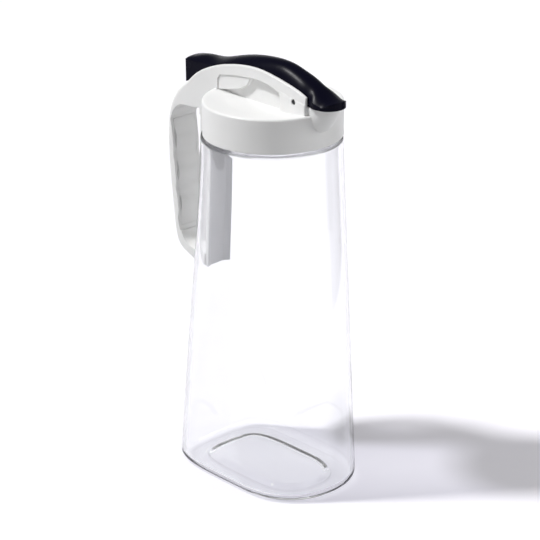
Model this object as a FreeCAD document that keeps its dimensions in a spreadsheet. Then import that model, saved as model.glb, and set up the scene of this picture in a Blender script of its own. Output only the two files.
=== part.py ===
import FreeCAD, Part
import Sketcher
import math
import os

# Clear drinks pitcher with a white lid-and-handle unit and a one-push thumb lever.
# Millimetres. +Z is up, +X runs towards the spout, -X towards the handle, and the
# pitcher is symmetric about the plane Y = 0. The origin lies on the table, in the
# middle of the whole pitcher's length.

os.makedirs("parts", exist_ok=True)
doc = FreeCAD.newDocument("Pitcher")

# Driving dimensions
SIZES = [
    ("neck_place", 17.15, "neck axis in front of the origin"),
    ("jug_wall", 2.2, "thickness of the clear wall"),
    ("jug_floor", 2.8, "thickness of the jug's floor"),
    ("jug_shoulder", 247.0, "height of the shoulder under the collar"),
    ("base_front", 59.4, "neck axis to the foot of the front wall"),
    ("base_back", 67.0, "neck axis to the foot of the back wall"),
    ("base_half", 44.2, "half the jug's width at its foot"),
    ("base_middle", 8.9, "where the foot is widest, in front of the neck axis"),
    ("base_squareness", 5.0, "superellipse power of the foot's back corners"),
    ("nose_squareness", 2.35, "superellipse power of the foot's nose"),
    ("shoulder_radius", 46.6, "front and half width at the shoulder"),
    ("shoulder_back", 50.5, "neck axis to the back wall at the shoulder"),
    ("foot_rounding", 6.5, "fillet under the wall"),
    ("push_up", 2.6, "height that the floor's middle is raised"),
    ("foot_ring", 20.0, "width of the ring that the jug stands on"),
    ("neck_step", 3.2, "shoulder's radius to the neck's"),
    ("neck_wall", 2.2, "thickness of the neck"),
    ("neck_height", 16.0, "neck above the shoulder"),
    ("neck_bead", 0.9, "radius of the bead round the neck"),
    ("collar_proud", 0.4, "collar's radius over the shoulder's"),
    ("collar_wall", 1.9, "thickness of the collar's skirt"),
    ("collar_lift", 0.7, "gap between shoulder and collar"),
    ("collar_height", 23.5, "collar from its lower edge to the deck"),
    ("collar_rounding", 1.4, "fillet round the deck"),
    ("deck_wall", 1.8, "thickness of the lid's deck"),
    ("deck_dish", 2.3, "depth of the dished deck in its middle"),
    ("arch_half", 11.6, "half the width of arch and handle"),
    ("arch_rise", 22.2, "top of the arch above the deck"),
    ("arch_front", 43.0, "neck axis to the front end of the arch"),
    ("flank_wall", 1.8, "thickness of the arch's flanks"),
    ("window_front", 18.7, "front end of the window in the flanks"),
    ("window_back", 42.0, "rear end of the window, behind the neck axis"),
    ("window_step", 0.7, "depth of the window's shallow part"),
    ("spine_half", 7.8, "half the thickness of the rib under the lever"),
    ("grip_reach", 98.0, "neck axis to the back of the handle"),
    ("grip_depth", 8.6, "depth of the grip"),
    ("grip_crown", 6.8, "rounding of the grip's back"),
    ("grip_shell", 2.2, "thickness of the handle's shell"),
    ("wave_height", 1.1, "half the height of the finger waves"),
    ("wave_pitch", 23.7, "one finger wave"),
    ("loop_drop", 18.4, "deck down to the top of the finger loop"),
    ("handle_drop", 132.6, "deck down to the handle's lower end"),
    ("leg_gap", 0.9, "jug's back to the leg's edges"),
    ("leg_depth", 4.8, "depth of the leg at its lower end"),
    ("root_back", 61.0, "neck axis to the back of the handle's root"),
    ("liner_wall", 2.4, "thickness of the handle's liner"),
    ("fit_gap", 0.3, "clearance between pieces that move"),
    ("spout_reach", 62.0, "neck axis to the spout's lip"),
    ("spout_half", 9.9, "half the width of the spout's mouth"),
    ("spout_drop", 12.6, "deck down to the spout's lowest point"),
    ("spout_rise", 5.6, "deck up to the spout's rim"),
    ("spout_wall", 1.7, "thickness of the spout"),
    ("mouth_drop", 4.8, "deck down to the sill of the mouth"),
    ("slot_half", 7.5, "half the width of the slot behind the mouth"),
    ("pivot_front", 32.1, "neck axis to the hinge pin"),
    ("pivot_rise", 7.0, "deck up to the hinge pin"),
    ("pin_radius", 1.8, "radius of the hinge pin"),
    ("pin_clearance", 0.07, "running clearance of the lever on its pin"),
    ("lever_wall", 2.2, "thickness of the lever's top"),
    ("lever_back", 77.4, "neck axis to the lever's rear edge"),
    ("lever_tip", 63.7, "neck axis to the lever's tip"),
    ("boss_radius", 3.9, "radius of the lever's pivot bosses"),
    ("seal_depth", 2.2, "how far the spout seal reaches into the mouth"),
    ("spring_wire", 0.8, "thickness of the spring wire"),
    ("spring_radius", 3.0, "middle radius of the spring's coils"),
    ("spring_turns", 5.0, "coils in the return spring"),
    ("spring_place", 56.0, "neck axis to the return spring"),
    ("spring_rise", 9.8, "deck up to the top of the spring"),
    ("trough_drop", 13.9, "deck down to the floor under the spring"),
    ("plug_wall", 1.6, "thickness of the inner lid"),
    ("plug_gap", 0.5, "gap between the inner lid and the neck's bore"),
    ("plug_depth", 8.0, "inner lid below the top of the neck"),
    ("gasket_height", 1.7, "thickness of the lid gasket"),
]
sheet = doc.addObject("Spreadsheet::Sheet", "Sizes")
for row, (alias, number, meaning) in enumerate(SIZES, start=1):
    sheet.set("A%d" % row, meaning)
    sheet.set("B%d" % row, str(number))
    sheet.setAlias("B%d" % row, alias)
doc.recompute()


def size(alias):
    return float(sheet.get(alias))


# A sum of sizes is written as words, such as "jug_shoulder + collar_lift"
def amount(words):
    total, sign = 0.0, 1.0
    for word in words.split():
        if word in ("+", "-"):
            sign = -1.0 if word == "-" else 1.0
        else:
            total += sign * (size(word) if word[0].isalpha() else float(word))
    return total


def formula(words):
    return " ".join("Sizes." + word if word[0].isalpha() else word for word in words.split())


def vector(x, y, z):
    return FreeCAD.Vector(x, y, z)


# Document objects
def feature(name, shape):
    made = doc.addObject("Part::Feature", name)
    made.Shape = shape
    made.Label = name
    return made


def place(made, x="0", y="0", z="0"):
    for axis, words in (("x", x), ("y", y), ("z", z)):
        made.setExpression("Placement.Base." + axis, formula(words))
    return made


def box(name, x_low, y_low, z_low, length, width, height):
    made = doc.addObject("Part::Box", name)
    for field, words in (("Length", length), ("Width", width), ("Height", height)):
        made.setExpression(field, formula(words))
    return place(made, x_low, y_low, z_low)


def cylinder(name, radius, height, z_low, x="neck_place"):
    made = doc.addObject("Part::Cylinder", name)
    made.setExpression("Radius", formula(radius))
    made.setExpression("Height", formula(height))
    return place(made, x, "0", z_low)


def cross_cylinder(name, radius, y_low, length, x, z):
    made = doc.addObject("Part::Cylinder", name)
    made.setExpression("Radius", formula(radius))
    made.setExpression("Height", formula(length))
    made.Placement.Rotation = FreeCAD.Rotation(FreeCAD.Vector(1, 0, 0), -90)
    return place(made, x, y_low, z)


def fuse(name, *pieces):
    made = doc.addObject("Part::MultiFuse", name)
    made.Shapes = list(pieces)
    made.Refine = True
    return made


def cut(name, base, tool):
    made = doc.addObject("Part::Cut", name)
    made.Base = base
    made.Tool = tool
    made.Refine = True
    return made


# Sketches of straight lines, each corner held by two dimensions from the origin
def polygon_body(name, corners):
    body = doc.addObject("PartDesign::Body", name)
    body.Label = name
    plane = [item for item in body.Origin.OriginFeatures if item.Role == "XZ_Plane"][0]
    sketch = body.newObject("Sketcher::SketchObject", name + "_profile")
    sketch.AttachmentSupport = [(plane, "")]
    sketch.MapMode = "FlatFace"
    spots = [vector(amount(x), amount(y), 0) for x, y in corners]
    count = len(spots)
    for index in range(count):
        sketch.addGeometry(Part.LineSegment(spots[index], spots[(index + 1) % count]), False)
    for index in range(count):
        sketch.addConstraint(Sketcher.Constraint("Coincident", index, 2, (index + 1) % count, 1))
    for index, (x, y) in enumerate(corners):
        for kind, words, value in (("DistanceX", x, spots[index].x), ("DistanceY", y, spots[index].y)):
            number = sketch.addConstraint(Sketcher.Constraint(kind, -1, 1, index, 1, value))
            label = kind[-1].lower() + "_%d" % index
            sketch.renameConstraint(number, label)
            sketch.setExpression("Constraints." + label, formula(words))
    return body, sketch


def turned(name, corners):
    body, sketch = polygon_body(name, corners)
    spin = body.newObject("PartDesign::Revolution", name + "_turn")
    spin.Profile = (sketch, [""])
    spin.ReferenceAxis = (sketch, ["V_Axis"])
    spin.Angle = 360
    body.Tip = spin
    return place(body, "neck_place")


def spline(points, closed=False):
    curve = Part.BSplineCurve()
    curve.interpolate(Points=points, PeriodicFlag=closed)
    return curve.toShape()


# A flat outline in X and Z, pulled out to both sides of the middle plane
def side_prism(edges, half):
    face = Part.Face(Part.Wire(edges))
    face.translate(vector(0, -half, 0))
    return face.extrude(vector(0, 2 * half, 0))


def side_polygon(corners):
    spots = [vector(x, 0, z) for x, z in corners]
    return [Part.LineSegment(a, b).toShape() for a, b in zip(spots, spots[1:] + spots[:1])]


# A closed section with a flat inner side, two straight sides and a crowned outer side.
# outer and inner are the middle points of those two sides.
CROWN_STEPS = 8
CROWN_POWER = 2.6


def crowned_section(outer, inner, half, crown):
    out = (outer - inner).normalize()
    spring_line = outer - out * crown
    arc = []
    for step in range(CROWN_STEPS + 1):
        angle = math.pi * step / CROWN_STEPS
        across = math.copysign(abs(math.cos(angle)) ** (2 / CROWN_POWER), -math.cos(angle))
        along = abs(math.sin(angle)) ** (2 / CROWN_POWER)
        arc.append(spring_line + vector(0, half * across, 0) + out * crown * along)
    low_left, low_right = inner - vector(0, half, 0), inner + vector(0, half, 0)
    return Part.Wire([
        spline(arc),
        Part.LineSegment(arc[-1], low_right).toShape(),
        Part.LineSegment(low_right, low_left).toShape(),
        Part.LineSegment(low_left, arc[0]).toShape(),
    ])


def point(x, z):
    return vector(neck_place + x, 0, z)


neck_place = size("neck_place")
jug_shoulder = size("jug_shoulder")
neck_top = amount("jug_shoulder + neck_height")
deck_top = amount("jug_shoulder + collar_lift + collar_height")
arch_half = size("arch_half")
fit_gap = size("fit_gap")
pivot = point(size("pivot_front"), deck_top + size("pivot_rise"))

# Jug body: a round shoulder that turns into a flat-backed foot
OUTLINE_POINTS = 40
JUG_LEVELS = 6
CORNER_SPREAD = 1.7


def jug_outline(height, inset):
    share = (jug_shoulder - height) / jug_shoulder
    middle = share * size("base_middle")
    front = size("shoulder_radius") + share * (size("base_front") - size("shoulder_radius"))
    back = size("shoulder_back") + share * (size("base_back") - size("shoulder_back"))
    half = size("shoulder_radius") + share * (size("base_half") - size("shoulder_radius"))
    back_power = 2 + (size("base_squareness") - 2) * share ** CORNER_SPREAD
    nose_power = 2 + (size("nose_squareness") - 2) * share
    points = []
    for step in range(OUTLINE_POINTS):
        angle = 2 * math.pi * step / OUTLINE_POINTS
        c, s = math.cos(angle), math.sin(angle)
        reach, power = (front - middle, nose_power) if c >= 0 else (back + middle, back_power)
        radius = ((abs(c) / (reach - inset)) ** power + (abs(s) / (half - inset)) ** power) ** (-1 / power)
        points.append(vector(neck_place + middle + radius * c, radius * s, height))
    return Part.Wire([spline(points, closed=True)])


def jug_loft(low, high, inset):
    levels = [low + (high - low) * step / (JUG_LEVELS - 1) for step in range(JUG_LEVELS)]
    return Part.makeLoft([jug_outline(level, inset) for level in levels], True, False)


def edges_at(shape, height):
    return [e for e in shape.Edges
            if abs(e.BoundBox.ZMin - height) < 0.01 and abs(e.BoundBox.ZMax - height) < 0.01]


SHOULDER_ROUNDING = 2.6
INSIDE_ROUNDING = 4.6
jug_wall = size("jug_wall")
jug_floor = size("jug_floor")
outside = jug_loft(0, jug_shoulder, 0)
outside = outside.makeFillet(size("foot_rounding"), edges_at(outside, 0))
outside = outside.makeFillet(SHOULDER_ROUNDING, edges_at(outside, jug_shoulder))
cavity_top = jug_shoulder - jug_wall
cavity = jug_loft(jug_floor, cavity_top, jug_wall)
cavity = cavity.makeFillet(INSIDE_ROUNDING, edges_at(cavity, jug_floor))
cavity = cavity.makeFillet(SHOULDER_ROUNDING, edges_at(cavity, cavity_top))
recess = Part.Face(jug_outline(0, size("foot_ring"))).extrude(vector(0, 0, size("push_up")))
plateau = Part.Face(jug_outline(0, size("foot_ring") - jug_wall)).extrude(
    vector(0, 0, size("push_up") + jug_floor))
jug_outside = feature("jug_outside", outside)
jug_cavity = feature("jug_cavity", cavity.cut(plateau))
jug_recess = feature("jug_recess", recess)
neck = "shoulder_radius - neck_step"
neck_tube = cylinder("neck_tube", neck, "neck_height + jug_wall", "jug_shoulder - jug_wall")
neck_bore = cylinder("neck_bore", neck + " - neck_wall", "neck_height + jug_wall + jug_wall + 1",
                     "jug_shoulder - jug_wall - jug_wall")
bead = doc.addObject("Part::Torus", "neck_bead_ring")
bead.setExpression("Radius1", formula(neck))
bead.setExpression("Radius2", formula("neck_bead"))
place(bead, "neck_place", "0", "jug_shoulder + collar_lift + neck_bead + neck_bead + neck_bead")
jug_solid = fuse("jug_solid", jug_outside, neck_tube, bead)
jug_hollow = fuse("jug_hollow", jug_cavity, neck_bore, jug_recess)
jug_body = cut("jug_body", jug_solid, jug_hollow)

# Collar of the lid: a capped ring with a dished deck
deck = "jug_shoulder + collar_lift + collar_height"
collar_block = cylinder("collar_block", "shoulder_radius + collar_proud", "collar_height",
                        "jug_shoulder + collar_lift")
doc.recompute()
collar_round = doc.addObject("Part::Fillet", "collar_round")
collar_round.Base = collar_block
top_edge = [n for n, e in enumerate(collar_block.Shape.Edges, 1)
            if abs(e.BoundBox.ZMin - deck_top) < 0.01 and e.Closed][0]
collar_round.Edges = [(top_edge, size("collar_rounding"), size("collar_rounding"))]
deck_low = deck + " - deck_wall"
deck_dish = turned("deck_dish", [
    ("0", deck + " - deck_dish"),
    ("shoulder_radius - 16", deck + " - deck_dish + 0.7"),
    ("shoulder_radius - 2.6", deck),
    ("shoulder_radius - 2.6", deck + " + 1"),
    ("0", deck + " + 1"),
])
dished_collar = cut("dished_collar", collar_round, deck_dish)
skirt_space = turned("skirt_space", [
    ("0", "jug_shoulder + collar_lift - 1"),
    ("shoulder_radius + collar_proud - collar_wall", "jug_shoulder + collar_lift - 1"),
    ("shoulder_radius + collar_proud - collar_wall", deck_low),
    ("shoulder_radius - 3.6", deck_low),
    ("shoulder_radius - 16", deck_low + " - deck_dish + 0.7"),
    ("0", deck_low + " - deck_dish"),
])

# Arch and grip: one tube of crowned sections, from the spout over the lid and down
# the handle to its lower end. Each row gives the middle of the outer side, the middle
# of the inner side and the crown.
arch_front = size("arch_front")
arch_top = deck_top + size("arch_rise")
loop_top = deck_top - size("loop_drop")
handle_low = deck_top - size("handle_drop")
grip_reach = size("grip_reach")
grip_depth = size("grip_depth")
grip_crown = size("grip_crown")
window_back = size("window_back")
ARCH_CROWN = 0.9
SINK = 0.7
LOOP_BACK = 60.0
deck_sink = deck_top - size("deck_dish") - SINK
stations = [
    (arch_front, arch_top - 9.8, arch_front, deck_sink, ARCH_CROWN),
    (arch_front - 7, arch_top - 7.0, arch_front - 7, deck_sink, ARCH_CROWN),
    (arch_front - 16, arch_top - 4.6, arch_front - 16, deck_sink, ARCH_CROWN),
    (arch_front - 29, arch_top - 1.9, arch_front - 29, deck_sink, ARCH_CROWN),
    (0, arch_top, 0, deck_sink, ARCH_CROWN),
    (-14, arch_top - 0.2, -14, deck_sink, ARCH_CROWN),
    (-28, arch_top - 2.2, -28, deck_sink, ARCH_CROWN),
    (-window_back, arch_top - 5.6, -window_back, deck_sink, ARCH_CROWN),
    (-54, arch_top - 10.0, -50, deck_top - 9, 1.2),
    (-66, arch_top - 16.4, -58, loop_top + 2.5, 1.8),
    (24.1 - grip_reach, arch_top - 22.6, -66, loop_top, 2.8),
    (13.9 - grip_reach, arch_top - 29.8, grip_depth + 12.6 - grip_reach, loop_top - 0.6, 4.8),
    (6.3 - grip_reach, arch_top - 39.6, grip_depth + 4.2 - grip_reach, loop_top - 3.8, 5.4),
    (2.0 - grip_reach, arch_top - 50, grip_depth - 0.5 - grip_reach, loop_top - 11, 6.2),
    (0 - grip_reach, arch_top - 64, grip_depth - 0.3 - grip_reach, loop_top - 25, grip_crown),
    (0.1 - grip_reach, arch_top - 82, grip_depth + 0.9 - grip_reach, loop_top - 41, grip_crown),
    (1.5 - grip_reach, handle_low + 53, grip_depth + 2.6 - grip_reach, handle_low + 54, grip_crown),
    (3.7 - grip_reach, handle_low + 33, grip_depth + 4.4 - grip_reach, handle_low + 34, grip_crown),
    (6.2 - grip_reach, handle_low + 18, grip_depth + 6.0 - grip_reach, handle_low + 22, 5.8),
    (11.0 - grip_reach, handle_low + 9.0, grip_depth + 8.4 - grip_reach, handle_low + 16.4, 4.0),
    (19.0 - grip_reach, handle_low + 4.6, grip_depth + 12.4 - grip_reach, handle_low + 12.4, 2.6),
    (-72, handle_low + 2.3, -71, handle_low + 10.4, 1.6),
    (-63, handle_low, -62.6, handle_low + 8.4, 1.0),
]
arch_tube = feature("arch_tube", Part.makeLoft(
    [crowned_section(point(x1, z1), point(x2, z2), arch_half, crown)
     for x1, z1, x2, z2, crown in stations], True, False))

# Root that ties the arch to the collar, and the leg that hugs the jug's back
root_block = box("root_block", "neck_place - root_back", "0 - arch_half", "jug_shoulder + collar_lift + 1.6",
                 "root_back - shoulder_radius - collar_proud + 3", "arch_half + arch_half",
                 "collar_height - 1.6")


def leg_section(height, back, edge, groove, half):
    groove_half = half - 4.0
    corners = [(back, -half), (back, half), (edge, half), (groove, groove_half),
               (groove, -groove_half), (edge, -half)]
    return Part.makePolygon([vector(neck_place + x, y, height) for x, y in corners + corners[:1]])


LEG_LEAN = 1.8
LEG_SPREAD = 2.0
LEG_INSET = 0.02
GROOVE = 1.9
GROOVE_SPREAD = 1.3
leg_top = loop_top + 1.5


def jug_back(height):
    share = max(0.0, (jug_shoulder - height) / jug_shoulder)
    return -size("shoulder_back") - share * (size("base_back") - size("shoulder_back"))


leg_low_edge = jug_back(handle_low) - size("leg_gap")
leg_high_edge = jug_back(leg_top) - size("leg_gap") - LEG_LEAN
leg = feature("leg", Part.makeLoft([
    leg_section(handle_low - 0.2, leg_low_edge - size("leg_depth"), leg_low_edge,
                leg_low_edge - GROOVE, arch_half - 1.4),
    leg_section(leg_top, leg_high_edge - size("leg_depth") - LEG_SPREAD, leg_high_edge,
                leg_high_edge - GROOVE - GROOVE_SPREAD, arch_half - LEG_INSET),
], True, True))

# Finger waves on the inner face of the grip
WAVE_LEAN = 0.0736
wave_crest = loop_top - 27.4


def wave_x(height, back_off=0.0):
    mean = grip_depth + 0.4 - grip_reach + WAVE_LEAN * (wave_crest - height)
    swing = size("wave_height") * math.cos(2 * math.pi * (height - wave_crest) / size("wave_pitch"))
    return mean + swing - back_off


def wave_edge(low, high, back_off=0.0):
    count = max(4, round(4 * (high - low) / size("wave_pitch")))
    heights = [low + (high - low) * step / count for step in range(count + 1)]
    return spline([point(wave_x(height, back_off), height) for height in heights])


grip_low = handle_low + 20.0
grip_high = loop_top - 11.0
finger_room = feature("finger_room", side_prism([
    wave_edge(grip_low, grip_high),
    Part.LineSegment(point(wave_x(grip_high), grip_high), point(-LOOP_BACK - 4, grip_high)).toShape(),
    Part.LineSegment(point(-LOOP_BACK - 4, grip_high), point(-LOOP_BACK - 4, grip_low)).toShape(),
    Part.LineSegment(point(-LOOP_BACK - 4, grip_low), point(wave_x(grip_low), grip_low)).toShape(),
], 2 * arch_half))

# Spout: a pointed half funnel on the front of the collar
SPOUT_ROOT = 40.0
SPOUT_HEART = 44.0
spout_rim = deck_top + size("spout_rise")
spout_low = deck_top - size("spout_drop")
# Each level: share of the height, share of the reach, share of the half width
SPOUT_LEVELS = [(0.0, 0.16, 0.20), (0.05, 0.28, 0.40), (0.30, 0.56, 0.80), (0.63, 0.79, 0.96),
                (1.0, 1.0, 1.0)]


def spout_outline(height, reach, half, back):
    ellipse = Part.Ellipse(point(SPOUT_HEART, height), max(reach, half), min(reach, half))
    if reach < half:
        ellipse.rotate(FreeCAD.Placement(vector(0, 0, 0), FreeCAD.Rotation(vector(0, 0, 1), 90),
                                         point(SPOUT_HEART, height)))
        arc = Part.ArcOfEllipse(ellipse, -math.pi, 0).toShape()
    else:
        arc = Part.ArcOfEllipse(ellipse, -math.pi / 2, math.pi / 2).toShape()
    right, left = arc.Vertexes[0].Point, arc.Vertexes[-1].Point
    root_right, root_left = vector(back, right.y, height), vector(back, left.y, height)
    return Part.Wire([
        arc,
        Part.LineSegment(left, root_left).toShape(),
        Part.LineSegment(root_left, root_right).toShape(),
        Part.LineSegment(root_right, right).toShape(),
    ])


def spout_loft(wall, low_share, back):
    reach = size("spout_reach") - SPOUT_HEART
    half = size("spout_half")
    wires = []
    for share, reach_share, half_share in SPOUT_LEVELS:
        if share < low_share:
            continue
        height = spout_low + share * (spout_rim - spout_low)
        wires.append(spout_outline(height, reach * reach_share - wall, half * half_share - wall, back))
    return wires


spout_block = feature("spout_block", Part.makeLoft(
    spout_loft(0.0, 0.0, neck_place + SPOUT_ROOT - 0.6), True, False))
mouth_sill = deck_top - size("mouth_drop")
mouth_void = Part.makeLoft(spout_loft(size("spout_wall"), 0.3, neck_place + SPOUT_ROOT + 1.2), True, False)
collar_front = amount("shoulder_radius + collar_proud") + 0.2
skirt_keeper = Part.makeBox(collar_front, 30, 20, vector(neck_place, -15, mouth_sill - 20))
mouth = feature("mouth", mouth_void.cut(skirt_keeper))

# A slot under the deck and through the skirt leads the drink into the spout
mouth_slot = box("mouth_slot", "neck_place + 41", "0 - slot_half", deck + " - mouth_drop",
                 "7", "slot_half + slot_half", "6")

# Trough for the lever, open to the top
trough_half = arch_half - size("flank_wall")
trough_low = deck_top - size("trough_drop")
window_front = size("window_front")
trough = feature("trough", side_prism(side_polygon([
    (neck_place + x, z) for x, z in [
        (-78.3, trough_low), (-49.5, trough_low), (-49.5, deck_top + 0.6), (-window_back, deck_top + 1.6),
        (-30, deck_top + 3.4), (-21.5, deck_top + 5.8), (-13.5, deck_top + 10.1), (-9.5, deck_top + 15.4),
        (-8, deck_top + 15.8), (0, deck_top + 16.0), (9.2, deck_top + 14.6), (window_front, deck_top + 11.6),
        (window_front + 1.6, deck_top + 11.1), (window_front + 1.6, deck_top + 0.6),
        (arch_front - 3.6, deck_top + 0.6), (arch_front - 3.6, spout_rim), (arch_front + 3, spout_rim),
        (arch_front + 3, arch_top + 9), (-78.3, arch_top + 9),
    ]]), trough_half))


# Windows in the flanks: shallow all over, deep in front of and below the trough's floor
def both_flanks(edges, inner, outer):
    face = Part.Face(Part.Wire(edges))
    left = face.extrude(vector(0, outer - inner, 0))
    left.translate(vector(0, inner, 0))
    return Part.makeCompound([left, left.mirror(vector(0, 0, 0), vector(0, 1, 0))])


WINDOW_CORNER = 2.4
window_roof = [(-8, 14.3), (-0.4, 14.6), (9.2, 13.2), (window_front, 10.2)]
window_sill = [(window_front, -1.9), (0, -2.1), (-20, -1.9), (-30, -1.5), (-window_back, -0.3)]
shallow_rows = [(-window_back, 9.5 - WINDOW_CORNER), (-window_back + WINDOW_CORNER, 10.2),
                (-29.8, 12.1), (-20, 13.5)] + window_roof + window_sill
deep_rows = [(-30, 2.0), (-21.5, 4.0), (-13.5, 8.3), (-9.5, 13.7)] + window_roof + window_sill


def flank_rows(rows):
    return side_polygon([(neck_place + x, deck_top + rise) for x, rise in rows])


window_shallow = feature("window_shallow", both_flanks(
    flank_rows(shallow_rows), arch_half - size("window_step"), arch_half + 2))
window_deep = feature("window_deep", both_flanks(
    flank_rows(deep_rows), size("spine_half"), arch_half + 2))

# The rib between the windows is hollow from below
RIB_WALL = 1.8
rib_space = feature("rib_space", side_prism(flank_rows([
    (-27, -6), (-27, 0.6), (-21.5, 2.0), (-13.5, 6.2), (-10.0, 11.6), (-8, 12.4), (0, 12.8), (9.2, 11.4),
    (window_front - 2, 8.8), (window_front - 2, -6)]), size("spine_half") - RIB_WALL))

# Low pads round the pin holes
PAD_RISE = 0.35
pivot_pads = feature("pivot_pads", both_flanks(
    flank_rows([(19.8, -3), (19.8, 11.2), (29.0, 9.4), (arch_front - 0.4, 6.9), (arch_front - 0.4, -3)]),
    arch_half - 1, arch_half + PAD_RISE))

# Grip: hollow behind a liner that carries the finger waves
hollow_half = arch_half - size("grip_shell") - 1.0
HOLLOW_STATIONS = stations[14:18]
grip_hollow = feature("grip_hollow", Part.makeLoft(
    [crowned_section(point(x1 + size("grip_shell"), z1), point(x2 + 3, z2), hollow_half, crown - 2)
     for x1, z1, x2, z2, crown in HOLLOW_STATIONS], True, False))
liner_half = arch_half - size("grip_shell")
LINER_END = 3.0
LINER_SINK = 0.0
LINER_GAP = 0.06


def liner_prism(low, high, front_off, back_off, half):
    return side_prism([
        wave_edge(low, high, front_off),
        Part.LineSegment(point(wave_x(high, front_off), high), point(wave_x(high, back_off), high)).toShape(),
        wave_edge(low, high, back_off),
        Part.LineSegment(point(wave_x(low, back_off), low), point(wave_x(low, front_off), low)).toShape(),
    ], half)


liner_back = LINER_SINK + size("liner_wall")
liner_pocket = feature("liner_pocket", liner_prism(
    grip_low + LINER_END, grip_high - LINER_END, -3.0, liner_back, liner_half))
handle_liner = feature("handle_liner", liner_prism(
    grip_low + LINER_END + LINER_GAP, grip_high - LINER_END - LINER_GAP, LINER_SINK, liner_back - LINER_GAP,
    liner_half - LINER_GAP))

# Lid shell
pin_holes = cross_cylinder("pin_holes", "pin_radius + 0.05", "0 - arch_half - 2", "arch_half + arch_half + 4",
                           "neck_place + pivot_front",
                           deck + " + pivot_rise")
spring_post = cylinder("spring_post", "spring_radius - spring_wire - 0.4", "4.6",
                       deck + " - trough_drop - 0.6", "neck_place - spring_place")
lid_outside = fuse("lid_outside", dished_collar, arch_tube, root_block, leg, spout_block, pivot_pads)
lid_spaces = fuse("lid_spaces", finger_room, trough, grip_hollow, liner_pocket, mouth, mouth_slot,
                  pin_holes)
lid_carved = cut("lid_carved", lid_outside, lid_spaces)
lid_windows = fuse("lid_windows", window_shallow, window_deep, skirt_space, rib_space)
lid_open = cut("lid_open", lid_carved, lid_windows)
lid_shell = fuse("lid_shell", lid_open, spring_post)

# Inner lid: a plug cup with a pouring grille and an air slot
gasket_low = "jug_shoulder + neck_height"
flange_low = gasket_low + " + gasket_height"
plug_floor = neck_top - size("plug_depth")
flange_base = neck_top + size("gasket_height")
rim_radius = amount("shoulder_radius + collar_proud - collar_wall - 0.3")
plug_edge = neck + " - neck_wall - plug_gap"
rim_edge = "shoulder_radius + collar_proud - collar_wall - 0.3"
plug_base = "jug_shoulder + neck_height - plug_depth"
inner_cup, cup_sketch = polygon_body("cup_profile", [
    ("0", plug_base),
    (plug_edge, plug_base),
    (plug_edge, flange_low),
    (rim_edge, flange_low),
    (rim_edge, deck_low),
    (rim_edge + " - plug_wall", deck_low),
    (rim_edge + " - plug_wall", flange_low + " + plug_wall"),
    (plug_edge + " - plug_wall", flange_low + " + plug_wall"),
    (plug_edge + " - plug_wall", plug_base + " + plug_wall"),
    ("0", plug_base + " + plug_wall"),
])
cup_turn = inner_cup.newObject("PartDesign::Revolution", "cup_turn")
cup_turn.Profile = (cup_sketch, [""])
cup_turn.ReferenceAxis = (cup_sketch, ["V_Axis"])
cup_turn.Angle = 360
inner_cup.Tip = cup_turn
place(inner_cup, "neck_place")

POUR_SLOTS = 5
POUR_PITCH = 6.0
POUR_WIDTH = 3.4
openings = []
for index in range(POUR_SLOTS):
    across = (index - (POUR_SLOTS - 1) / 2) * POUR_PITCH
    corner = vector(neck_place + 17, across - POUR_WIDTH / 2, plug_floor - 3)
    openings.append(Part.makeBox(17, POUR_WIDTH, 9, corner))
openings.append(Part.makeBox(7, 12, 9, vector(neck_place - 34, -6, plug_floor - 3)))
SPOUT_NOTCH = 8.0
notch_corner = vector(neck_place + rim_radius - 7, -SPOUT_NOTCH, flange_base + size("plug_wall"))
openings.append(Part.makeBox(12, 2 * SPOUT_NOTCH, 6, notch_corner))
cup_openings = feature("cup_openings", Part.makeCompound(openings))
inner_lid = cut("inner_lid", inner_cup, cup_openings)

lid_gasket = turned("lid_gasket", [
    (neck + " - neck_wall - 0.2", gasket_low),
    (neck + " - 0.2", gasket_low),
    (neck + " - 0.2", flange_low),
    (neck + " - neck_wall - 0.2", flange_low),
])

# Hinge pin
hinge_pin = cross_cylinder("hinge_pin", "pin_radius", "0.4 - arch_half", "arch_half + arch_half - 0.8",
                           "neck_place + pivot_front",
                           deck + " + pivot_rise")

# Thumb lever. Each row: place, crest and edge as heights above the deck, and half the width.
LEVER_POWER = 2.3
lever_back = size("lever_back")
lever_tip = size("lever_tip")
lever_half = trough_half - 0.4
cap_half = lever_half + 1.6
under_cap = spout_rim - deck_top + 0.4
lever_rows = [
    (-lever_back - 1, 14.6, 12.9, lever_half),
    (-70, 16.2, 13.2, lever_half),
    (-64, 17.2, 13.4, lever_half),
    (-58, 17.5, 14.0, lever_half),
    (-53, 17.8, 14.6, lever_half),
    (-46, 19.0, 16.0, lever_half),
    (-36, 21.7, 19.0, lever_half),
    (-25, 24.6, 21.4, lever_half),
    (-12, 27.0, 23.0, lever_half),
    (0, 28.2, 23.0, lever_half),
    (10, 28.4, 22.0, lever_half),
    (18, 27.6, 20.6, lever_half),
    (28, 24.9, 18.2, lever_half),
    (38, 21.4, 15.1, lever_half),
    (44, 18.6, 12.5, lever_half),
    (48, 16.5, 10.6, cap_half),
    (54, 13.5, 8.6, cap_half),
    (59, 11.8, 7.8, cap_half),
    (lever_tip + 0.6, 11.0, 7.8, cap_half),
]
LEVER_STEPS = 10
LEVER_LOW = -10.0


def lever_section(place_x, crest, edge, half):
    top = []
    for step in range(LEVER_STEPS + 1):
        across = 2 * step / LEVER_STEPS - 1
        rise = crest - (crest - edge) * abs(across) ** LEVER_POWER
        top.append(point(place_x, deck_top + rise) + vector(0, half * across, 0))
    low_right = vector(neck_place + place_x, half, deck_top + LEVER_LOW)
    low_left = vector(neck_place + place_x, -half, deck_top + LEVER_LOW)
    return Part.Wire([
        spline(top),
        Part.LineSegment(top[-1], low_right).toShape(),
        Part.LineSegment(low_right, low_left).toShape(),
        Part.LineSegment(low_left, top[0]).toShape(),
    ])


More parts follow.
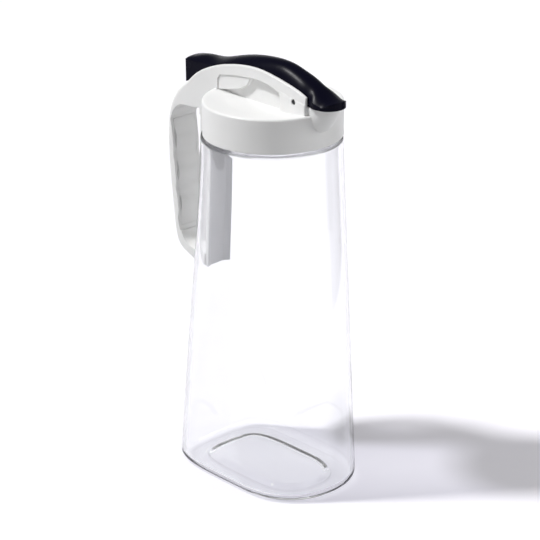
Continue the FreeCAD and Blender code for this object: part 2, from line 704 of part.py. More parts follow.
lever_block = Part.makeLoft([lever_section(*row) for row in lever_rows], True, False)
BOW = 1.0
corner_x = neck_place - lever_back + BOW
cap_x = neck_place + lever_tip - cap_half
plan_half = cap_half + 0.4
plan = Part.Face(Part.Wire([
    Part.Arc(vector(corner_x, plan_half, 0), vector(corner_x - BOW, 0, 0),
             vector(corner_x, -plan_half, 0)).toShape(),
    Part.LineSegment(vector(corner_x, -plan_half, 0), vector(cap_x, -plan_half, 0)).toShape(),
    Part.Arc(vector(cap_x, -plan_half, 0), vector(neck_place + lever_tip, 0, 0),
             vector(cap_x, plan_half, 0)).toShape(),
    Part.LineSegment(vector(cap_x, plan_half, 0), vector(corner_x, plan_half, 0)).toShape(),
]))
plan.translate(vector(0, 0, deck_top - 20))
under_rows = [
    (-lever_back - 3, -4.2), (-60, 5.3), (-45, 11.8), (-30, 16.4), (-20, 18.4), (-8, 20.0), (0, 19.8),
    (9.5, 18.4), (19, 15.8), (22, 14.7), (24.4, 5.2), (29, 3.6), (33, 3.2), (36, 4.4), (38.2, under_cap),
    (lever_tip + 3, under_cap), (lever_tip + 3, -30), (-lever_back - 3, -30),
]
lever_plan = feature("lever_plan", lever_block.common(plan.extrude(vector(0, 0, 60))))
lever_under = feature("lever_under", side_prism(flank_rows(under_rows), 2 * arch_half))
lever_form = cut("lever_form", lever_plan, lever_under)
lever_wall = size("lever_wall")
LEVER_SIDE = 1.8
first = lever_rows[0]
hollow_rows = [(x, crest - lever_wall, edge - lever_wall, half - LEVER_SIDE)
               for x, crest, edge, half in [(2.2 - lever_back,) + first[1:]] + lever_rows[1:14]]
lever_hollow = feature("lever_hollow", Part.makeLoft(
    [lever_section(*row) for row in hollow_rows], True, False))
lever_bosses = cross_cylinder("lever_bosses", "boss_radius", "0 - arch_half + flank_wall + 1",
                              "arch_half + arch_half - flank_wall - flank_wall - 2",
                              "neck_place + pivot_front",
                              deck + " + pivot_rise")
boss_space = cross_cylinder("boss_space", "boss_radius + 1", "0 - 4.6", "9.2", "neck_place + pivot_front",
                            deck + " + pivot_rise")
lever_bore = cross_cylinder("lever_bore", "pin_radius + pin_clearance", "0 - arch_half",
                            "arch_half + arch_half", "neck_place + pivot_front", deck + " + pivot_rise")
boss_pair = cut("boss_pair", lever_bosses, boss_space)
spring_cap = cylinder("spring_cap", "spring_radius + spring_wire + 0.4", "6.4",
                      deck + " + spring_rise", "neck_place - spring_place")
cap_post = cylinder("cap_post", "spring_radius - spring_wire - 0.4", "4.4",
                    deck + " + spring_rise - 3.4", "neck_place - spring_place")


# Spout seal: a soft plug held in a recess under the lever's front
def seal_outline(height, inset, back):
    level, level_reach, level_half = SPOUT_LEVELS[-2]
    share = (height - spout_low) / (spout_rim - spout_low)
    climb = (share - level) / (1 - level)
    reach_share = level_reach + climb * (1 - level_reach)
    half_share = level_half + climb * (1 - level_half)
    shrink = size("spout_wall") + inset
    reach = (size("spout_reach") - SPOUT_HEART) * min(1.0, reach_share) - shrink
    half = size("spout_half") * min(1.0, half_share) - shrink
    return spout_outline(height, reach, half, neck_place + back)


seal_low = spout_rim - size("seal_depth")
SEAL_TOP = 1.5
SEAL_CLEAR = 0.45
SEAL_BACK = 42.6
seal_plug = Part.makeLoft([seal_outline(seal_low, SEAL_CLEAR, SEAL_BACK),
                           seal_outline(spout_rim, SEAL_CLEAR, SEAL_BACK)], True, False)
seal_neck = Part.Face(seal_outline(spout_rim, SEAL_CLEAR, SEAL_BACK)).extrude(vector(0, 0, 0.4 + SEAL_TOP))
spout_seal = feature("spout_seal", seal_plug.fuse(seal_neck).removeSplitter())
seal_recess = Part.Face(seal_outline(spout_rim, SEAL_CLEAR - LINER_GAP, SEAL_BACK - LINER_GAP)).extrude(
    vector(0, 0, 0.4 + SEAL_TOP))
seal_room = feature("seal_room", seal_recess)

lever_shell = cut("lever_shell", lever_form, lever_hollow)
lever_built = fuse("lever_built", lever_shell, boss_pair, spring_cap, cap_post)
lever_spaces = fuse("lever_spaces", lever_bore, seal_room)
thumb_lever = cut("thumb_lever", lever_built, lever_spaces)

# Return spring
spring_wire = size("spring_wire")
spring_base = trough_low + spring_wire / 2
spring_top = deck_top + size("spring_rise") - spring_wire / 2
spring_length = spring_top - spring_base
helix = Part.makeHelix(spring_length / size("spring_turns"), spring_length, size("spring_radius"))
start = Part.Wire([Part.makeCircle(spring_wire / 2, vector(size("spring_radius"), 0, 0), vector(0, 1, 0))])
coil = Part.Wire(helix.Edges).makePipeShell([start], True, True)
coil.translate(vector(neck_place - size("spring_place"), 0, spring_base))
return_spring = feature("return_spring", coil)

doc.recompute()
nodes = [jug_body, lid_shell, handle_liner, inner_lid, lid_gasket, thumb_lever, spout_seal, hinge_pin,
         return_spring]
for made in doc.Objects:
    if "Invalid" in made.State or "Error" in made.State:
        raise RuntimeError(made.Name + " is not valid")
for made in nodes:
    made.Label = made.Name
    shape = made.Shape
    if shape.isNull() or not shape.isValid() or len(shape.Solids) != 1:
        raise RuntimeError(made.Name + " is not one valid solid: %d" % len(shape.Solids))
    shape.exportStep("parts/%s.step" % made.Name)
    bounds = shape.BoundBox
    print(made.Name, round(shape.Volume / 1000, 2), bounds)
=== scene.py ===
import math

import bmesh
import bpy
from bpy.props import FloatProperty, FloatVectorProperty, IntProperty, PointerProperty
from mathutils import Matrix, Vector


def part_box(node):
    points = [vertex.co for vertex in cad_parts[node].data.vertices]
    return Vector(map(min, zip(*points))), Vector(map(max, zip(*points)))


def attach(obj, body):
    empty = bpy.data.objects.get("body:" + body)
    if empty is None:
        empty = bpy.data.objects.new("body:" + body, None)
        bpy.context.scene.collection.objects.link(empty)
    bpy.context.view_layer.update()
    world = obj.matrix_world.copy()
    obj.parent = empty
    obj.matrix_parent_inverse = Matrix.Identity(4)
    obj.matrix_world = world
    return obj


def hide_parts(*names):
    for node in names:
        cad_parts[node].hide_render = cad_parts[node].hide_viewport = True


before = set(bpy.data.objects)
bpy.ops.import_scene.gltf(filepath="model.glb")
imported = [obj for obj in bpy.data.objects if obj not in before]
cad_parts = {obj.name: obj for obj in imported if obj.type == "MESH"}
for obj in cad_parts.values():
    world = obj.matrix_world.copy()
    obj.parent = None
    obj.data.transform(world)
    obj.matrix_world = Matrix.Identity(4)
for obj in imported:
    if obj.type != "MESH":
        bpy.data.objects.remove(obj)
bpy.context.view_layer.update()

bl_info = {
    "name": "Clear Pitcher",
    "version": (1, 0, 0),
    "blender": (4, 5, 0),
    "location": "View3D > Sidebar > Pitcher",
    "description": "Dresses the packed pitcher: clear jug, white lid and handle, "
                   "dark thumb lever, stage",
    "category": "Object",
}

MM = 0.001

# Places taken from the CAD model
JUG_LOW, JUG_HIGH = (Vector(corner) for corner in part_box("jug_body"))
GASKET_LOW, GASKET_HIGH = (Vector(corner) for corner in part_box("lid_gasket"))
NECK_X = (GASKET_LOW.x + GASKET_HIGH.x) / 2

# Small sizes of the clear jug
NECK_RISE = 16.0 * MM
SHOULDER_ROUNDING = 2.6 * MM
INNER_CORNER = 4.6 * MM
SOFT_STEP = 2.6 * MM
LIP_ROUNDING = 0.5 * MM
BEAD_RADIUS = 0.9 * MM
BEAD_RISE = 3.4 * MM
NECK_START = 0.2 * MM
BORE_START = 0.4 * MM
FLOOR_RINGS = (40.0 * MM, 34.0 * MM, 28.0 * MM)

# How square the jug's outline grows towards its foot
ROUND_POWER = 2.0
NOSE_SQUARENESS = 0.35
BACK_SQUARENESS = 3.0
BACK_EASE = 1.7

# Divisions of the jug's profile
WALL_STEPS = 40
FOOT_STEPS = 12
RAMP_STEPS = 10
EDGE_STEPS = 8
LIP_STEPS = 4

# Colours and shares of the finishes
PLASTIC_IOR = 1.49
BEVEL_SAMPLES = 6
WHITE_SCATTER = (1.0, 0.95, 0.9)
SEAL_COLOUR = (0.72, 0.73, 0.74)
PLUG_COLOUR = (0.70, 0.71, 0.73)
PIN_COLOUR = (0.02, 0.02, 0.022)
WIRE_DARK = (0.50, 0.50, 0.51)
WIRE_LIGHT = (0.66, 0.66, 0.67)
WALL_FACING = (0.96, 0.96, 0.965)
WALL_EDGE = (0.62, 0.62, 0.66)
COLLAR_BLEND_START = 3.5 * MM
COLLAR_BLEND_END = 1.5 * MM
COLLAR_BLEND_SHARE = 0.7

# Camera and lights
SENSOR_WIDTH = 36.0
CAMERA_REACH = 20.0
KEY_ANGLE = math.radians(6.0)
SIDE_SIZE = 0.9
SIDE_RIGHT = 1.6
SIDE_NEAR = 0.3
SIDE_HEIGHT = 0.9
SIDE_AIM_HEIGHT = 0.25

# Table and card
TABLE_HALF = 6.0
TABLE_DROP = 0.2 * MM
TABLE_DARK = (0.79, 0.78, 0.83)
TABLE_LIGHT = (0.81, 0.80, 0.85)
TABLE_BOUNCE = (0.50, 0.50, 0.505)
TABLE_GLOW = (0.98, 0.96, 1.0)
TABLE_GLOW_STRENGTH = 0.16
CARD_RIGHT = 0.42
CARD_FAR = 0.10
CARD_NEAR_END = -0.10
CARD_FAR_END = 0.22
CARD_FOOT = 0.001
CARD_TOP = 0.45
CARD_DARK = (0.02, 0.02, 0.022)
CARD_LIGHT = (0.04, 0.04, 0.043)


def colour_property(name, description, default):
    return FloatVectorProperty(name=name, description=description, default=default,
                               size=3, min=0.0, max=1.0, subtype="COLOR")


def length_property(name, description, default):
    return FloatProperty(name=name, description=description, default=default, min=0.0,
                         subtype="DISTANCE", unit="LENGTH", precision=5)


class JugSettings(bpy.types.PropertyGroup):
    wall: length_property("Wall", "Thickness of the clear wall", 2.2 * MM)
    floor: length_property("Floor", "Thickness of the jug's floor", 2.8 * MM)
    push_up: length_property("Push-up", "Height that the floor's middle is raised", 2.6 * MM)
    foot_ring: length_property("Foot ring", "Width of the ring that the jug stands on", 20.0 * MM)
    foot_rounding: length_property("Foot rounding", "Fillet under the wall", 6.5 * MM)
    shoulder: length_property("Shoulder", "Height of the shoulder", JUG_HIGH.z - NECK_RISE)
    neck_step: length_property("Neck step", "Shoulder's edge to the neck", 3.2 * MM)
    shoulder_back: length_property("Shoulder back", "Neck axis to the back wall at the shoulder",
                                   50.5 * MM)
    shoulder_radius: length_property("Shoulder radius", "Front radius at the shoulder", 46.6 * MM)
    middle_shift: length_property("Middle shift", "Where the foot is widest", 8.9 * MM)
    base_half: length_property("Base half width", "Half the jug's width at its foot", 44.2 * MM)
    steps: IntProperty(name="Steps", description="Divisions round the jug", default=224, min=48)
    tint: colour_property("Tint", "Colour of the clear plastic", (0.985, 0.99, 0.992))


class LidSettings(bpy.types.PropertyGroup):
    white: colour_property("White", "Colour of lid and handle", (0.85, 0.85, 0.845))
    navy: colour_property("Navy", "Colour of the thumb lever", (0.0035, 0.0035, 0.010))


class StageSettings(bpy.types.PropertyGroup):
    azimuth: FloatProperty(name="Azimuth", description="Camera's turn from the pitcher's right side",
                           default=math.radians(47.2), subtype="ANGLE", unit="ROTATION")
    pitch: FloatProperty(name="Pitch", description="Camera's tilt down", default=math.radians(21.73),
                         subtype="ANGLE", unit="ROTATION")
    roll: FloatProperty(name="Roll", description="Camera's roll", default=math.radians(-0.48),
                        subtype="ANGLE", unit="ROTATION")
    distance: length_property("Distance", "Camera to neck axis along the floor", 1353.4 * MM)
    height: length_property("Height", "Camera above the floor", 688.8 * MM)
    side_step: FloatProperty(name="Side step", description="Camera's step to its right",
                             default=-2.84 * MM, subtype="DISTANCE", unit="LENGTH")
    lens: FloatProperty(name="Lens", description="Focal length in millimetres", default=142.69)
    key_height: FloatProperty(name="Key height", description="Key light above the floor",
                              default=math.radians(55.0), subtype="ANGLE", unit="ROTATION")
    key_strength: FloatProperty(name="Key strength", description="Sun strength of the key", default=3.0)
    fill: FloatProperty(name="Fill", description="Strength of the studio's fill light", default=0.30)
    side_power: FloatProperty(name="Side power", description="Watts of the soft light on the right",
                              default=7.0)


# Node helpers

def new_material(name):
    material = bpy.data.materials.new(name)
    material.use_nodes = True
    nodes = material.node_tree.nodes
    return material, nodes, material.node_tree.links, nodes.get("Principled BSDF")


def add_node(nodes, kind, **fields):
    node = nodes.new(kind)
    for field, value in fields.items():
        setattr(node, field, value)
    return node


def set_inputs(node, **values):
    for name, value in values.items():
        node.inputs[name.replace("_", " ")].default_value = value


def noise(nodes, links, scale, detail=3.0, roughness=0.5):
    place = add_node(nodes, "ShaderNodeTexCoord")
    texture = add_node(nodes, "ShaderNodeTexNoise")
    set_inputs(texture, Scale=scale, Detail=detail, Roughness=roughness)
    links.new(place.outputs["Object"], texture.inputs["Vector"])
    return texture.outputs["Fac"]


def spread(nodes, links, value, low, high):
    ranged = add_node(nodes, "ShaderNodeMapRange")
    set_inputs(ranged, To_Min=low, To_Max=high)
    links.new(value, ranged.inputs["Value"])
    return ranged.outputs["Result"]


# A smooth change of value with a vector's height
def by_height(nodes, links, vector, low, high, at_low, at_high):
    parts = add_node(nodes, "ShaderNodeSeparateXYZ")
    links.new(vector, parts.inputs["Vector"])
    ranged = add_node(nodes, "ShaderNodeMapRange", interpolation_type="SMOOTHSTEP")
    set_inputs(ranged, From_Min=low, From_Max=high, To_Min=at_low, To_Max=at_high)
    links.new(parts.outputs["Z"], ranged.inputs["Value"])
    return ranged.outputs["Result"]


def bump(nodes, links, value, distance, strength, after=None):
    raised = add_node(nodes, "ShaderNodeBump")
    set_inputs(raised, Strength=strength, Distance=distance)
    links.new(value, raised.inputs["Height"])
    if after is not None:
        links.new(after, raised.inputs["Normal"])
    return raised.outputs["Normal"]


def soft_edges(nodes, radius):
    rounded = add_node(nodes, "ShaderNodeBevel", samples=BEVEL_SAMPLES)
    set_inputs(rounded, Radius=radius)
    return rounded.outputs["Normal"]


def two_colours(nodes, links, value, first, second):
    mixed = add_node(nodes, "ShaderNodeMix", data_type="RGBA")
    set_inputs(mixed, A=(*first, 1.0), B=(*second, 1.0))
    links.new(value, mixed.inputs["Factor"])
    return mixed.outputs["Result"]


def larger(nodes, links, first, second):
    greatest = add_node(nodes, "ShaderNodeMath", operation="MAXIMUM")
    links.new(first, greatest.inputs[0])
    links.new(second, greatest.inputs[1])
    return greatest.outputs[0]


def ray_kind(nodes, links, *kinds):
    path = add_node(nodes, "ShaderNodeLightPath")
    value = path.outputs[kinds[0]]
    for kind in kinds[1:]:
        value = larger(nodes, links, value, path.outputs[kind])
    return value


def mix_values(nodes, links, factor, first, second):
    mixed = add_node(nodes, "ShaderNodeMix", data_type="FLOAT")
    links.new(factor, mixed.inputs["Factor"])
    for socket, value in ((mixed.inputs["A"], first), (mixed.inputs["B"], second)):
        if isinstance(value, float):
            socket.default_value = value
        else:
            links.new(value, socket)
    return mixed.outputs["Result"]


def shade(colour, factor):
    return tuple(min(1.0, channel * factor) for channel in colour)


# Finishes

def moulded_plastic(name, colour, rough, grain, edge, variation):
    material, nodes, links, shader = new_material(name)
    cloud = noise(nodes, links, scale=35.0, detail=4.0)
    fine = noise(nodes, links, scale=2600.0, detail=2.0, roughness=0.6)
    dark, light = shade(colour, 1 - variation), shade(colour, 1 + variation)
    links.new(two_colours(nodes, links, cloud, dark, light), shader.inputs["Base Color"])
    links.new(spread(nodes, links, cloud, rough - 0.04, rough + 0.05), shader.inputs["Roughness"])
    links.new(bump(nodes, links, fine, grain, strength=0.35, after=soft_edges(nodes, edge)),
              shader.inputs["Normal"])
    set_inputs(shader, IOR=PLASTIC_IOR)
    return material


def white_plastic(name, colour):
    material = moulded_plastic(name, colour, rough=0.34, grain=0.00002, edge=0.0009, variation=0.012)
    shader = material.node_tree.nodes["Principled BSDF"]
    set_inputs(shader, Subsurface_Weight=0.12, Subsurface_Scale=0.004, Subsurface_Radius=WHITE_SCATTER)
    return material


def navy_plastic(name, colour):
    material = moulded_plastic(name, colour, rough=0.27, grain=0.00003, edge=0.0008, variation=0.06)
    set_inputs(material.node_tree.nodes["Principled BSDF"], Specular_IOR_Level=0.05)
    return material


def milky_silicone(name, colour):
    material = moulded_plastic(name, colour, rough=0.5, grain=0.00003, edge=0.0004, variation=0.02)
    shader = material.node_tree.nodes["Principled BSDF"]
    set_inputs(shader, Subsurface_Weight=0.3, Subsurface_Scale=0.002)
    return material


def spring_wire(name):
    material, nodes, links, shader = new_material(name)
    streaks = noise(nodes, links, scale=900.0, detail=2.0)
    links.new(two_colours(nodes, links, streaks, WIRE_DARK, WIRE_LIGHT), shader.inputs["Base Color"])
    links.new(spread(nodes, links, streaks, 0.2, 0.38), shader.inputs["Roughness"])
    set_inputs(shader, Metallic=1.0)
    return material


# Refracting plastic that lets shadow and diffuse rays pass, and more of every ray just under the collar
def clear_plastic(name, tint, shoulder):
    material, nodes, links, shader = new_material(name)
    waves = noise(nodes, links, scale=28.0, detail=2.0)
    fine = noise(nodes, links, scale=420.0)
    ripple = bump(nodes, links, waves, distance=0.00025, strength=0.25)
    links.new(bump(nodes, links, fine, distance=0.00001, strength=0.25, after=ripple),
              shader.inputs["Normal"])
    links.new(spread(nodes, links, fine, 0.0, 0.02), shader.inputs["Roughness"])
    set_inputs(shader, IOR=PLASTIC_IOR, Transmission_Weight=1.0, Base_Color=(*tint, 1.0))
    through = add_node(nodes, "ShaderNodeBsdfTransparent")
    edge = add_node(nodes, "ShaderNodeLayerWeight")
    set_inputs(edge, Blend=0.35)
    links.new(two_colours(nodes, links, edge.outputs["Facing"], WALL_FACING, WALL_EDGE),
              through.inputs["Color"])
    passed = ray_kind(nodes, links, "Is Shadow Ray", "Is Diffuse Ray")
    place = add_node(nodes, "ShaderNodeNewGeometry")
    near = by_height(nodes, links, place.outputs["Position"], shoulder - COLLAR_BLEND_START,
                     shoulder - COLLAR_BLEND_END, 0.0, COLLAR_BLEND_SHARE)
    mix = add_node(nodes, "ShaderNodeMixShader")
    links.new(larger(nodes, links, passed, near), mix.inputs["Fac"])
    links.new(shader.outputs["BSDF"], mix.inputs[1])
    links.new(through.outputs["BSDF"], mix.inputs[2])
    links.new(mix.outputs["Shader"], nodes["Material Output"].inputs["Surface"])
    return material


def dress(node, material):
    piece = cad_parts[node]
    for slot in piece.material_slots:
        slot.material = material
    if not piece.material_slots:
        piece.data.materials.append(material)


# Clear jug

def jug_reach(settings, height, inset, angle):
    share = min(1.0, max(0.0, (settings.shoulder - height) / settings.shoulder))
    middle = share * settings.middle_shift
    base_front = JUG_HIGH.x - NECK_X
    base_back = NECK_X - JUG_LOW.x
    front = settings.shoulder_radius + share * (base_front - settings.shoulder_radius)
    back = settings.shoulder_back + share * (base_back - settings.shoulder_back)
    half = settings.shoulder_radius + share * (settings.base_half - settings.shoulder_radius)
    nose_power = ROUND_POWER + NOSE_SQUARENESS * share
    back_power = ROUND_POWER + BACK_SQUARENESS * share ** BACK_EASE
    along, across = math.cos(angle), math.sin(angle)
    reach, power = (front - middle, nose_power) if along >= 0 else (back + middle, back_power)
    radius = ((abs(along) / (reach - inset)) ** power
              + (abs(across) / (half - inset)) ** power) ** (-1 / power)
    return Vector((NECK_X + middle + radius * along, radius * across, height))


def round_reach(radius, height, angle):
    return Vector((NECK_X + radius * math.cos(angle), radius * math.sin(angle), height))


# Rows of a rounded edge: (inset or radius, height) pairs on an arc between two angles in degrees
def corner_rows(centre_in, centre_up, radius, start, end, steps):
    rows = []
    for step in range(steps + 1):
        angle = math.radians(start + (end - start) * step / steps)
        rows.append((centre_in + radius * math.cos(angle), centre_up + radius * math.sin(angle)))
    return rows


# Rows of a soft step: an eased climb from one height to the other
def ramp_rows(inset_from, inset_to, low, high):
    rows = []
    for step in range(RAMP_STEPS + 1):
        share = step / RAMP_STEPS
        eased = (1 - math.cos(math.pi * share)) / 2
        rows.append((inset_from + (inset_to - inset_from) * share, low + (high - low) * eased))
    return rows


def straight_rows(inset, start, end):
    return [(inset, start + (end - start) * step / WALL_STEPS) for step in range(1, WALL_STEPS)]


def wall_rows(pairs):
    return [("wall", inset, height) for inset, height in pairs]


def neck_rows(pairs):
    return [("neck", radius, height) for radius, height in pairs]


# The jug's profile, from the middle of its underside up the outside and down the inside to its floor
def jug_rows(settings):
    wall, foot, ring = settings.wall, settings.foot_rounding, settings.foot_ring
    shoulder, top = settings.shoulder, JUG_HIGH.z
    edge, lip = SHOULDER_ROUNDING, LIP_ROUNDING
    neck = settings.shoulder_radius - settings.neck_step
    bore = neck - wall
    under = shoulder - wall
    inner_foot = settings.floor + INNER_CORNER
    inner_ring = ring - wall
    raised = settings.push_up + settings.floor

    rows = wall_rows((inset, settings.push_up) for inset in FLOOR_RINGS)
    rows += wall_rows(ramp_rows(ring + SOFT_STEP, ring - SOFT_STEP, settings.push_up, 0.0))
    rows += wall_rows(corner_rows(foot, foot, foot, -90, -180, FOOT_STEPS))
    rows += wall_rows(straight_rows(0.0, foot, shoulder - edge))
    rows += wall_rows(corner_rows(edge, shoulder - edge, edge, 180, 90, EDGE_STEPS))
    rows += neck_rows([(neck, shoulder + NECK_START)])
    rows += neck_rows(corner_rows(neck, shoulder + BEAD_RISE, BEAD_RADIUS, -90, 90, EDGE_STEPS))
    rows += neck_rows(corner_rows(neck - lip, top - lip, lip, 0, 90, LIP_STEPS))
    rows += neck_rows(corner_rows(bore + lip, top - lip, lip, 90, 180, LIP_STEPS))
    rows += neck_rows([(bore, under + BORE_START)])
    rows += wall_rows(corner_rows(wall + edge, under - edge, edge, 90, 180, EDGE_STEPS))
    rows += wall_rows(straight_rows(wall, under - edge, inner_foot))
    rows += wall_rows(corner_rows(wall + INNER_CORNER, inner_foot, INNER_CORNER, 180, 270, FOOT_STEPS))
    rows += wall_rows(ramp_rows(inner_ring - SOFT_STEP, inner_ring + SOFT_STEP, settings.floor, raised))
    rows += wall_rows((inset, raised) for inset in reversed(FLOOR_RINGS))
    return rows


def jug_mesh(settings):
    mesh = bpy.data.meshes.new("clear_jug")
    shape = bmesh.new()
    count = settings.steps
    rings = []
    for kind, inset, height in jug_rows(settings):
        ring = []
        for step in range(count):
            angle = 2 * math.pi * step / count
            spot = (round_reach(inset, height, angle) if kind == "neck"
                    else jug_reach(settings, height, inset, angle))
            ring.append(shape.verts.new(spot))
        rings.append(ring)
    for below, above in zip(rings, rings[1:]):
        for step in range(count):
            after = (step + 1) % count
            shape.faces.new((below[step], below[after], above[after], above[step]))
    for ring, flip in ((rings[0], True), (rings[-1], False)):
        centre = shape.verts.new(sum((v.co for v in ring), Vector()) / count)
        for step in range(count):
            after = (step + 1) % count
            corners = (ring[after], ring[step], centre) if flip else (ring[step], ring[after], centre)
            shape.faces.new(corners)
    bmesh.ops.recalc_face_normals(shape, faces=shape.faces)
    for face in shape.faces:
        face.smooth = True
    shape.to_mesh(mesh)
    shape.free()
    return mesh


def add_object(name, data):
    piece = bpy.data.objects.new(name, data)
    bpy.context.scene.collection.objects.link(piece)
    return piece


class PITCHER_OT_jug(bpy.types.Operator):
    """Build the clear jug over its CAD solid"""
    bl_idname = "pitcher.jug"
    bl_label = "Clear jug"

    def execute(self, context):
        settings = context.scene.pitcher_jug
        jug = add_object("clear_jug", jug_mesh(settings))
        jug.data.materials.append(clear_plastic("clear_plastic", settings.tint, settings.shoulder))
        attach(jug, "jug")
        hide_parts("jug_body")
        return {"FINISHED"}


class PITCHER_OT_lid(bpy.types.Operator):
    """Finish the white lid, handle and inner lid"""
    bl_idname = "pitcher.lid"
    bl_label = "White lid"

    def execute(self, context):
        white = context.scene.pitcher_lid.white
        dress("lid_shell", white_plastic("white_plastic", white))
        dress("handle_liner", white_plastic("white_liner", shade(white, 0.99)))
        dress("inner_lid", white_plastic("white_inner", shade(white, 0.97)))
        return {"FINISHED"}


class PITCHER_OT_lever(bpy.types.Operator):
    """Finish the dark thumb lever"""
    bl_idname = "pitcher.lever"
    bl_label = "Thumb lever"

    def execute(self, context):
        dress("thumb_lever", navy_plastic("navy_plastic", context.scene.pitcher_lid.navy))
        return {"FINISHED"}


class PITCHER_OT_inner_parts(bpy.types.Operator):
    """Finish the seals, the pin and the spring"""
    bl_idname = "pitcher.inner_parts"
    bl_label = "Seals, pin and spring"

    def execute(self, context):
        dress("lid_gasket", milky_silicone("soft_seal", SEAL_COLOUR))
        dress("spout_seal", milky_silicone("soft_plug", PLUG_COLOUR))
        dress("hinge_pin", moulded_plastic("pin_plastic", PIN_COLOUR, rough=0.35, grain=0.00002,
                                           edge=0.0003, variation=0.1))
        dress("return_spring", spring_wire("spring_steel"))
        return {"FINISHED"}


# Stage

def camera_axes(settings):
    turn, tilt, roll = settings.azimuth, settings.pitch, settings.roll
    right = Vector((math.cos(turn), math.sin(turn), 0.0))
    level = math.cos(tilt)
    forward = Vector((-math.sin(turn) * level, math.cos(turn) * level, -math.sin(tilt)))
    up = right.cross(forward)
    spot = Vector((NECK_X + math.sin(turn) * settings.distance, -math.cos(turn) * settings.distance,
                   settings.height)) + right * settings.side_step
    rolled_right = right * math.cos(roll) + up * math.sin(roll)
    rolled_up = up * math.cos(roll) - right * math.sin(roll)
    return spot, rolled_right, rolled_up, forward


# The camera's right and forward directions, laid flat on the table
def level_axes(settings):
    _, right, _, forward = camera_axes(settings)
    return tuple(Vector((axis.x, axis.y, 0)).normalized() for axis in (right, forward))


def add_camera(settings):
    data = bpy.data.cameras.new("photo_camera")
    data.sensor_width = SENSOR_WIDTH
    data.lens = settings.lens
    data.clip_end = CAMERA_REACH
    camera = add_object("photo_camera", data)
    spot, right, up, forward = camera_axes(settings)
    turn = Matrix((right, up, -forward)).transposed().to_4x4()
    camera.matrix_world = Matrix.Translation(spot) @ turn
    bpy.context.scene.camera = camera


def aim(light, towards):
    light.rotation_euler = Vector(towards).to_track_quat("-Z", "Y").to_euler()


def add_lights(settings):
    right, forward = level_axes(settings)
    key_data = bpy.data.lights.new("key", "SUN")
    key_data.energy = settings.key_strength
    key_data.angle = KEY_ANGLE
    key = add_object("key", key_data)
    aim(key, right * math.cos(settings.key_height) - Vector((0, 0, math.sin(settings.key_height))))
    side_data = bpy.data.lights.new("side", "AREA")
    side_data.shape = "DISK"
    side_data.size = SIDE_SIZE
    side_data.energy = settings.side_power
    side_data.specular_factor = 0.0
    side = add_object("side", side_data)
    side.location = right * SIDE_RIGHT - forward * SIDE_NEAR + Vector((0, 0, SIDE_HEIGHT))
    aim(side, Vector((NECK_X, 0.0, SIDE_AIM_HEIGHT)) - side.location)


# The studio's brightness by ray: plain fill, brighter near the horizon in mirrored rays, white when seen
def add_world(settings):
    world = bpy.data.worlds.new("studio")
    world.use_nodes = True
    bpy.context.scene.world = world
    nodes, links = world.node_tree.nodes, world.node_tree.links
    background = nodes["Background"]
    set_inputs(background, Color=(1.0, 1.0, 1.0, 1.0))
    place = add_node(nodes, "ShaderNodeTexCoord")
    mirrored = by_height(nodes, links, place.outputs["Generated"], low=0.12, high=0.42,
                         at_low=0.75, at_high=0.14)
    strength = mix_values(nodes, links, ray_kind(nodes, links, "Is Glossy Ray"), settings.fill, mirrored)
    strength = mix_values(nodes, links, ray_kind(nodes, links, "Is Camera Ray", "Is Transmission Ray"),
                          strength, 1.0)
    links.new(strength, background.inputs["Strength"])


def floor_material():
    material, nodes, links, shader = new_material("white_table")
    grain = noise(nodes, links, scale=60.0)
    seen = two_colours(nodes, links, grain, TABLE_DARK, TABLE_LIGHT)
    mixed = add_node(nodes, "ShaderNodeMix", data_type="RGBA")
    links.new(ray_kind(nodes, links, "Is Diffuse Ray"), mixed.inputs["Factor"])
    links.new(seen, mixed.inputs["A"])
    set_inputs(mixed, B=(*TABLE_BOUNCE, 1.0))
    links.new(mixed.outputs["Result"], shader.inputs["Base Color"])
    set_inputs(shader, Roughness=0.9, Specular_IOR_Level=0.0, Emission_Color=(*TABLE_GLOW, 1.0))
    looked_at = ray_kind(nodes, links, "Is Camera Ray", "Is Transmission Ray")
    glow = mix_values(nodes, links, looked_at, 0.0, TABLE_GLOW_STRENGTH)
    links.new(glow, shader.inputs["Emission Strength"])
    return material


def add_floor():
    mesh = bpy.data.meshes.new("table_top")
    shape = bmesh.new()
    bmesh.ops.create_grid(shape, x_segments=8, y_segments=8, size=TABLE_HALF)
    shape.to_mesh(mesh)
    shape.free()
    table = add_object("table_top", mesh)
    table.location.z = -TABLE_DROP
    mesh.materials.append(floor_material())


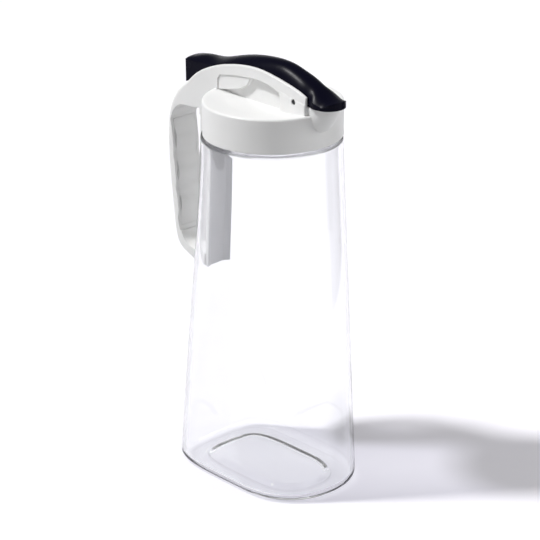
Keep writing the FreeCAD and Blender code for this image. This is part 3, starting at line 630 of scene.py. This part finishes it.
# A dark card beside the set, seen only in reflections and through refraction
def add_card(settings):
    right, forward = level_axes(settings)
    centre = Vector((NECK_X, 0.0, 0.0)) + right * CARD_RIGHT + forward * CARD_FAR
    mesh = bpy.data.meshes.new("dark_card")
    shape = bmesh.new()
    outline = ((CARD_NEAR_END, CARD_FOOT), (CARD_FAR_END, CARD_FOOT),
               (CARD_FAR_END, CARD_TOP), (CARD_NEAR_END, CARD_TOP))
    corners = [shape.verts.new(centre + forward * along + Vector((0, 0, height)))
               for along, height in outline]
    shape.faces.new(corners)
    bmesh.ops.subdivide_edges(shape, edges=shape.edges[:], cuts=3, use_grid_fill=True)
    shape.to_mesh(mesh)
    shape.free()
    card = add_object("dark_card", mesh)
    material, nodes, links, shader = new_material("black_card")
    fibre = noise(nodes, links, scale=40.0)
    links.new(two_colours(nodes, links, fibre, CARD_DARK, CARD_LIGHT), shader.inputs["Base Color"])
    set_inputs(shader, Roughness=0.9)
    mesh.materials.append(material)
    card.visible_camera = False
    card.visible_diffuse = False
    card.visible_shadow = False


class PITCHER_OT_stage(bpy.types.Operator):
    """Set the table, the studio light and the camera"""
    bl_idname = "pitcher.stage"
    bl_label = "Stage"

    def execute(self, context):
        settings = context.scene.pitcher_stage
        add_floor()
        add_card(settings)
        add_world(settings)
        add_lights(settings)
        add_camera(settings)
        context.scene.view_settings.view_transform = "Standard"
        return {"FINISHED"}


class PITCHER_PT_sidebar(bpy.types.Panel):
    bl_idname = "PITCHER_PT_sidebar"
    bl_label = "Pitcher"
    bl_space_type = "VIEW_3D"
    bl_region_type = "UI"
    bl_category = "Pitcher"

    def draw(self, context):
        for operator in OPERATORS:
            self.layout.operator(operator.bl_idname)


SETTINGS = {"pitcher_jug": JugSettings, "pitcher_lid": LidSettings, "pitcher_stage": StageSettings}
OPERATORS = (PITCHER_OT_jug, PITCHER_OT_lid, PITCHER_OT_lever, PITCHER_OT_inner_parts, PITCHER_OT_stage)


def register():
    for name, group in SETTINGS.items():
        bpy.utils.register_class(group)
        setattr(bpy.types.Scene, name, PointerProperty(type=group))
    for made in OPERATORS + (PITCHER_PT_sidebar,):
        bpy.utils.register_class(made)


def unregister():
    for made in reversed(OPERATORS + (PITCHER_PT_sidebar,)):
        bpy.utils.unregister_class(made)
    for name, group in SETTINGS.items():
        delattr(bpy.types.Scene, name)
        bpy.utils.unregister_class(group)


def main():
    register()
    bpy.ops.pitcher.jug()
    bpy.ops.pitcher.lid()
    bpy.ops.pitcher.lever()
    bpy.ops.pitcher.inner_parts()
    bpy.ops.pitcher.stage()


if __name__ == "__main__":
    main()
